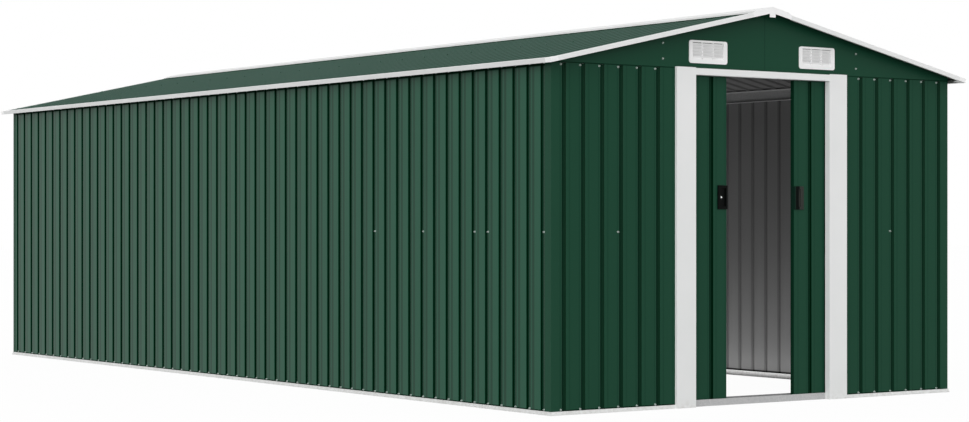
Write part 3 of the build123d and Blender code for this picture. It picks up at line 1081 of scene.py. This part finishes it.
@dataclass
class Rails:
    """The galvanised rails, beams, track and sill."""

    frame: dict
    finishes: Finishes

    def dress(self) -> None:
        """Finishes the bare steel."""
        names = (
            "door_sill", "door_sill_base", "door_sill_back", "left_top_rail",
            "right_top_rail", "rear_top_rail", "ridge_beam", "left_purlin",
            "right_purlin", "door_track",
        )
        for node in names:
            # The sill's back strip takes the darker zinc, painted shade.
            coat = self.finishes.shaded_zinc if node == "door_sill_back" else self.finishes.zinc
            finish_node(self.frame, node, coat)
        log.info("bare steel: %d nodes", len(names))


@dataclass
class GableVents:
    """The four louvred vents."""

    frame: dict
    finishes: Finishes
    rim_turn: float = 1.0
    face_slack: float = 0.0001

    def dress(self) -> None:
        """Rounds the front rims of the vents."""
        for end in ("front", "rear"):
            for hand in ("left", "right"):
                node = f"{end}_{hand}_vent"
                low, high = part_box(node)
                face = low.y if end == "front" else high.y
                formed = Formed(self.frame, RIM_BEND)
                form = formed.rounded(node, lambda flange, y=face: self._rim(flange, y))
                finish = self.finishes.moulded
                publish(f"{node}_louvre", form, finish, Body.SHED, Slot.MOULDED, [node])

    def _rim(self, form: bmesh.types.BMesh, face: float) -> list[bmesh.types.BMEdge]:
        """The edges of the front face of the flange."""
        return [
            edge
            for edge in form.edges
            if all(abs(vert.co.y - face) < self.face_slack for vert in edge.verts)
            and edge.calc_face_angle(0.0) > self.rim_turn
        ]


@dataclass
class Leaf:
    """One sliding door leaf with its handle and gliders."""

    frame: dict
    finishes: Finishes
    name: str
    body: Body
    lead: float
    way: float
    face: float = 2.842
    rib_inset: float = 0.096
    rib_shift: float = 0.004
    lock_place: float = 0.0385
    lock_height: float = 0.958
    lock_depth: float = 0.0152
    lock_radius: float = 0.0046
    lock_taper: float = 0.9
    lock_rise: float = 0.0006
    lock_sides: int = 24

    def dress(self) -> None:
        """Forms the leaf and finishes its handle and gliders."""
        door = f"{self.name}_door"
        first = self.lead + self.way * self.rib_inset + self.rib_shift
        coating = CoatedSheet(
            f"{door}_coating", (0.0, 1.0, 0.0), -self.face,
            (1.0, 0.0, 0.0), first, LEAF_PITCH, FRONT_CREASES,
        )
        form = Formed(self.frame, RIB_BENDS).rounded(door)
        material = self.finishes.made(coating)
        publish(f"{door}_sheet", form, material, self.body, Slot.SHEET, [door])
        left = self.body is Body.LEFT_LEAF
        # The right handle takes the copy with painted sheen and painted shade.
        pull = self.finishes.handle if left else self.finishes.sheen_handle
        finish_node(self.frame, f"{door}_handle", pull)
        if left:
            self._lock_face()
        finish_node(self.frame, f"{door}_gliders", self.finishes.nylon)

    def _lock_face(self) -> None:
        """The plated face of the lock in the left handle."""
        form = bmesh.new()
        disc = add_disc(
            form, self.lock_sides, self.lock_radius, self.lock_taper, self.lock_rise
        )
        across = self.lead - self.lock_place
        place = Side.FRONT.place(across, self.lock_height, self.lock_depth)
        bmesh.ops.transform(form, matrix=place, verts=disc)
        publish("left_door_lock_face", form, self.finishes.lock_face, self.body, Slot.STEEL)


@dataclass
class Fixings:
    """Self-tapping screws with washers, true to scale."""

    finishes: Finishes
    washer_radius: float = 0.0052
    washer_height: float = 0.0014
    washer_taper: float = 0.8
    washer_sides: int = 12
    head_radius: float = 0.0038
    head_height: float = 0.0036
    head_taper: float = 0.92
    head_sides: int = 6
    rib_gap: float = 0.0185
    side_gap: float = 0.0155
    roof_gap: float = 0.05
    foot: float = 0.0235
    middle: float = 0.800
    head: float = 1.533
    eave: float = 1.5405
    side_laps: Sequence[int] = (0, 4, 5, 9, 13)
    front_laps: Sequence[int] = (3, 8)
    rear_laps: Sequence[int] = (3, 8, 14, 19)
    gable_across: float = 0.6
    gable_heights: Sequence[float] = (1.581, 1.652)
    roof_rows: Sequence[float] = (0.16, 0.616, 1.205)

    def _screw(self) -> bpy.types.Mesh:
        """One screw: a domed washer under a hexagonal head."""
        form = bmesh.new()
        washer = add_disc(
            form, self.washer_sides, self.washer_radius, self.washer_taper, self.washer_height
        )
        bmesh.ops.translate(form, vec=(0, 0, self.washer_height / 2), verts=washer)
        head = add_disc(
            form, self.head_sides, self.head_radius, self.head_taper, self.head_height
        )
        lift = self.washer_height + self.head_height / 2
        bmesh.ops.translate(form, vec=(0, 0, lift), verts=head)
        return mesh_of("screw_pattern", form)

    def _set(self, name: str, places: Iterable[Matrix], coated: bool = False) -> None:
        """Sets screws at their places and joins them into one piece."""
        pattern = self._screw()
        form = bmesh.new()
        for place in places:
            before = len(form.verts)
            form.from_mesh(pattern)
            form.verts.ensure_lookup_table()
            bmesh.ops.transform(form, matrix=place, verts=form.verts[before:])
        finish = self.finishes.coated_screw if coated else self.finishes.plated
        publish(name, form, finish, Body.SHED, Slot.STEEL)
        bpy.data.meshes.remove(pattern)

    def build(self) -> None:
        """Sets the screws of the walls, gables and roof."""
        self._long_walls()
        self._gable_walls()
        self._roof()

    def _long_walls(self) -> None:
        """Screws at the foot and head of each rib, and half way up at the laps."""
        for name, side, way in (("left", Side.LEFT, -1.0), ("right", Side.RIGHT, 1.0)):
            places = []
            for rib in range(SIDE_RIBS):
                along = way * (rib * SIDE_PITCH - self.side_gap - SIDE_START)
                middle = [self.middle] if rib in self.side_laps else []
                for height in (self.foot, self.eave, *middle):
                    places.append(side.place(along, height))
            self._set(f"{name}_wall_screws", places)

    def _gable_walls(self) -> None:
        """Screws of the front and rear walls and of the gable sheets."""
        front = [
            start + rib * FRONT_PITCH - self.rib_gap
            for start in FRONT_STARTS
            for rib in range(FRONT_RIBS)
        ]
        rear = [REAR_START + rib * REAR_PITCH - self.rib_gap for rib in range(REAR_RIBS)]
        gable = [
            (across, height)
            for across in (-self.gable_across, self.gable_across)
            for height in self.gable_heights
        ]
        rows = ((Side.FRONT, front, self.front_laps), (Side.REAR, rear, self.rear_laps))
        for side, spots, laps in rows:
            places = [side.place(x, z) for x in spots for z in (self.foot, self.head)]
            places += [side.place(spots[lap], self.middle) for lap in laps]
            places += [side.place(*spot) for spot in gable]
            self._set(f"{side.name.lower()}_wall_screws", places)

    def _roof(self) -> None:
        """Rows of screws along the eaves, the purlins and under the ridge."""
        for name, way in (("left", -1.0), ("right", 1.0)):
            places = [
                slope_place(way * across, SIDE_START - rib * SIDE_PITCH + self.roof_gap)
                for across in self.roof_rows
                for rib in range(0, SIDE_RIBS, 2)
            ]
            self._set(f"{name}_roof_screws", places, coated=True)


@dataclass(frozen=True)
class Sun:
    """One broad lamp: its strength, its spread in degrees and the way its light travels."""

    name: str
    level: float
    spread: float
    travel: Triple


SUNS = (
    Sun("soft_key", 1.45, 60.0, (0.74, 0.46, -0.49)),
    Sun("front_fill", 0.86, 25.0, (0.50, 0.86, -0.03)),
)


@dataclass(frozen=True)
class Glow:
    """Light from the ground inside the shed: its size, its place across and its watts."""

    name: str
    size: Span
    across: float
    power: float


GLOWS = (
    Glow("ground_glow", (2.2, 5.4), 0.0, 1.8),
    Glow("left_foot_glow", (0.22, 5.3), -1.05, 16.5),
    Glow("right_foot_glow", (0.22, 5.3), 1.05, 16.5),
)


@dataclass
class Studio:
    """A plain white studio: floor, world, lamps and the camera."""

    viewpoint: Triple = (-7.214, -10.867, 0.839)
    heading: Triple = (0.57559, 0.81776, 0.0)
    lens: float = 85.3
    rise: float = 0.0125
    sensor: float = 36.0
    reach: float = 200.0
    ambient: float = 0.62
    floor_size: float = 60.0
    floor_drop: float = 0.001
    floor_grey: Span = (0.5, 0.9)
    floor_white: float = 0.97
    glow_lift: float = 0.004

    def build(self) -> None:
        """Sets the floor, light and camera."""
        self._world()
        self._floor()
        self._lamps()
        self._camera()
        log.info("studio: %d lamps", len(SUNS) + len(GLOWS))

    def _world(self) -> None:
        """White to the camera and in reflections, even light for everything else."""
        world = bpy.data.worlds.new("studio_world")
        bpy.context.scene.world = world
        world.use_nodes = True
        graph = Graph(world.node_tree)
        backdrop = world.node_tree.nodes["Background"]
        backdrop.inputs["Color"].default_value = (1.0, 1.0, 1.0, 1.0)
        graph.feed(backdrop.inputs["Strength"], self._seen(graph, self.ambient, 1.0))

    @staticmethod
    def _seen(graph: Graph, other: float, seen_level: float) -> bpy.types.NodeSocket:
        """One level for camera, glossy and transmission rays, another for the rest."""
        rays = graph.node("LightPath")
        seen = graph.math(
            "MAXIMUM", rays.outputs["Is Camera Ray"], rays.outputs["Is Glossy Ray"]
        )
        seen = graph.math("MAXIMUM", seen, rays.outputs["Is Transmission Ray"])
        return graph.between(seen, other, seen_level)

    def _floor(self) -> None:
        """A wide white floor that keeps the object's shadow."""
        form = bmesh.new()
        bmesh.ops.create_grid(form, x_segments=4, y_segments=4, size=self.floor_size)
        bmesh.ops.translate(form, vec=(0, 0, -self.floor_drop), verts=form.verts)
        mesh = mesh_of("studio_floor", form)
        material = bpy.data.materials.new("studio_floor")
        material.use_nodes = True
        tree = material.node_tree
        tree.nodes.clear()
        graph = Graph(tree)
        matt = graph.node("BsdfDiffuse", {"Color": self._seen(graph, *self.floor_grey)})
        bright = graph.node("Emission", {"Color": (1.0, 1.0, 1.0), "Strength": 1.0})
        share = self._seen(graph, 0.0, self.floor_white)
        blend = graph.node("MixShader", {0: share, 1: matt.outputs[0], 2: bright.outputs[0]})
        end = graph.node("OutputMaterial")
        tree.links.new(blend.outputs[0], end.inputs["Surface"])
        mesh.materials.append(material)
        link("studio_floor", mesh)

    def _lamps(self) -> None:
        """Broad soft light from the left and front, and a glow from the ground inside."""
        for sun in SUNS:
            data = bpy.data.lights.new(sun.name, "SUN")
            data.energy = sun.level
            data.angle = math.radians(sun.spread)
            self._aim(link(sun.name, data), sun.travel)
        for glow in GLOWS:
            data = bpy.data.lights.new(glow.name, "AREA")
            data.shape = "RECTANGLE"
            data.size, data.size_y = glow.size
            data.energy = glow.power
            lamp = link(glow.name, data)
            lamp.location = (glow.across, 0, self.glow_lift)
            lamp.rotation_euler = (math.pi, 0, 0)
            lamp.visible_camera = False
            lamp.visible_glossy = False

    @staticmethod
    def _aim(piece: bpy.types.Object, way: Triple) -> None:
        """Turns a lamp or camera to look the given way."""
        piece.rotation_mode = "QUATERNION"
        piece.rotation_quaternion = Vector(way).to_track_quat("-Z", "Y")

    def _camera(self) -> None:
        """The camera at the photograph's viewpoint."""
        data = bpy.data.cameras.new("camera")
        data.sensor_width = self.sensor
        data.lens = self.lens
        data.shift_y = self.rise
        data.clip_end = self.reach
        camera = link("camera", data)
        camera.location = self.viewpoint
        self._aim(camera, self.heading)
        bpy.context.scene.camera = camera


def main() -> None:
    """Builds the dressed shed in order."""
    logging.basicConfig(level=logging.INFO, format="%(name)s %(message)s")
    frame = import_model()
    bpy.context.scene.view_settings.view_transform = "Standard"
    finishes = Finishes()
    RibbedSheets(frame, finishes).dress()
    FoldedTrims(frame, finishes).dress()
    Rails(frame, finishes).dress()
    GableVents(frame, finishes).dress()
    Leaf(frame, finishes, "left", Body.LEFT_LEAF, LEFT_LEAD, -1.0).dress()
    Leaf(frame, finishes, "right", Body.RIGHT_LEAF, RIGHT_LEAD, 1.0).dress()
    Fixings(finishes).build()
    Studio().build()


if __name__ == "__main__":
    main()
